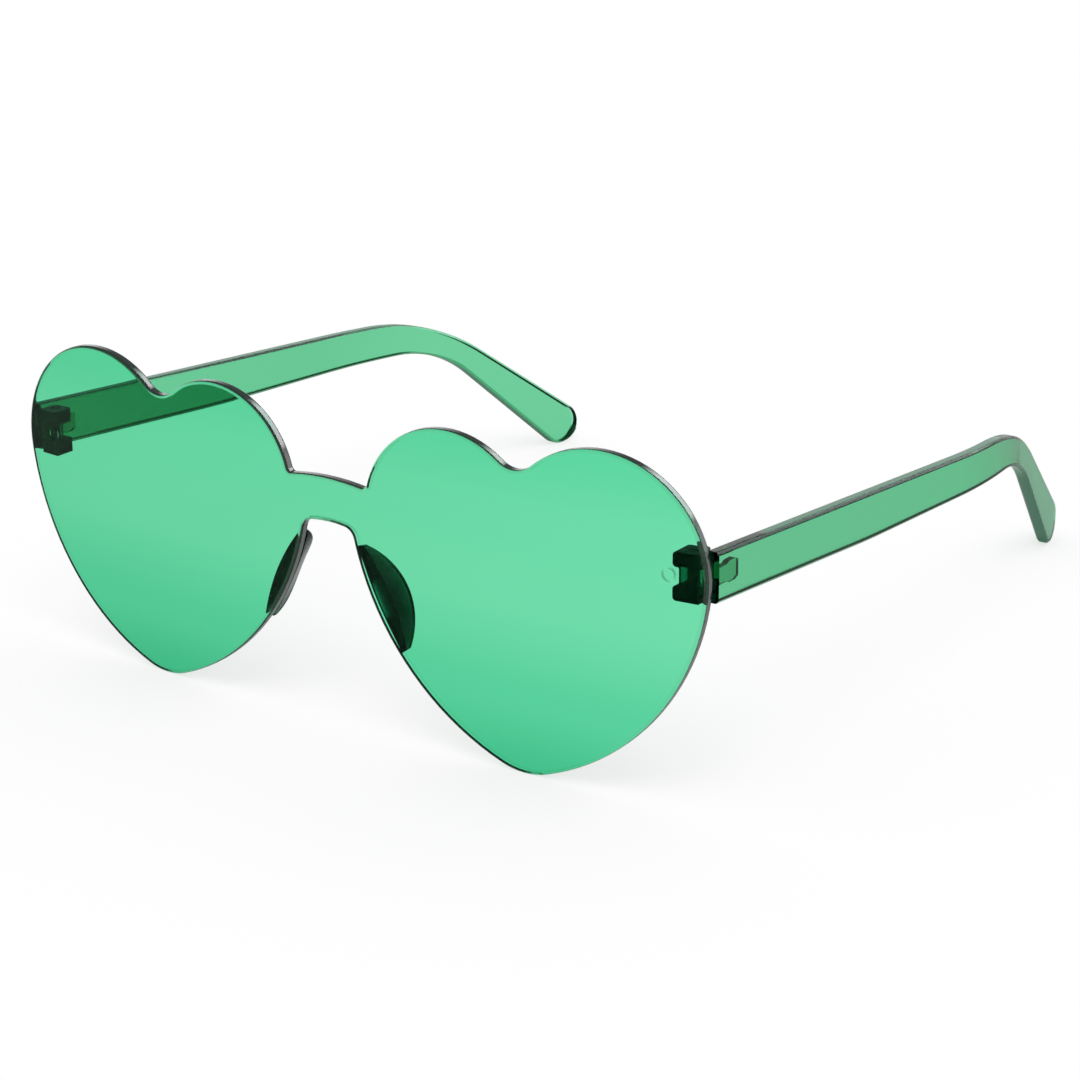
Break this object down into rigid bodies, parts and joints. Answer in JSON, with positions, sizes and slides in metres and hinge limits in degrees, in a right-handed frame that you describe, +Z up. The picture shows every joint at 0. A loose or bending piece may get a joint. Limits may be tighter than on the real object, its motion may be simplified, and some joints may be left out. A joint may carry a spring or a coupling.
{
  "type": "heart shaped sunglasses",
  "caption": "Rimless sunglasses with a one-piece bowed lens of two joined hearts, nose pads on its back and folding temples, to shade the wearer's eyes.",
  "frame": {"origin": "on the ground in the middle of the footprint, halfway between the lens's front and the temple tips", "axes": "+X to the wearer's left, +Y from the lens back to the temple tips, +Z up; the lens's front faces -Y"},
  "size_m": [0.1432, 0.1542, 0.0567],
  "materials": {
    "lens_plastic": "clear green tint, polished",
    "temple_plastic": "clear green tint, polished",
    "pad_plastic": "clear green tint, looks dark where it is seen edge on",
    "hinge_plastic": "clear green tint, looks dark where it is thick",
    "screw_steel": "plain turned"
  },
  "bodies": {
    "front": {"heart_lens": "lens_plastic", "nose_pad_left": "pad_plastic", "nose_pad_right": "pad_plastic", "hinge_block_left": "hinge_plastic", "hinge_block_right": "hinge_plastic", "hinge_screw_left": "screw_steel", "hinge_screw_right": "screw_steel"},
    "left_temple": {"temple_left": "temple_plastic"},
    "right_temple": {"temple_right": "temple_plastic"}
  },
  "joints": [
    {"name": "left_temple_fold", "type": "hinge", "parent": "front", "child": "left_temple", "pos_m": [0.067, -0.06956, 0.0383], "axis": [0, 0, 1], "range_deg": [0, 87]},
    {"name": "right_temple_fold", "type": "hinge", "parent": "front", "child": "right_temple", "pos_m": [-0.067, -0.06956, 0.0383], "axis": [0, 0, -1], "range_deg": [0, 76]}
  ]
}
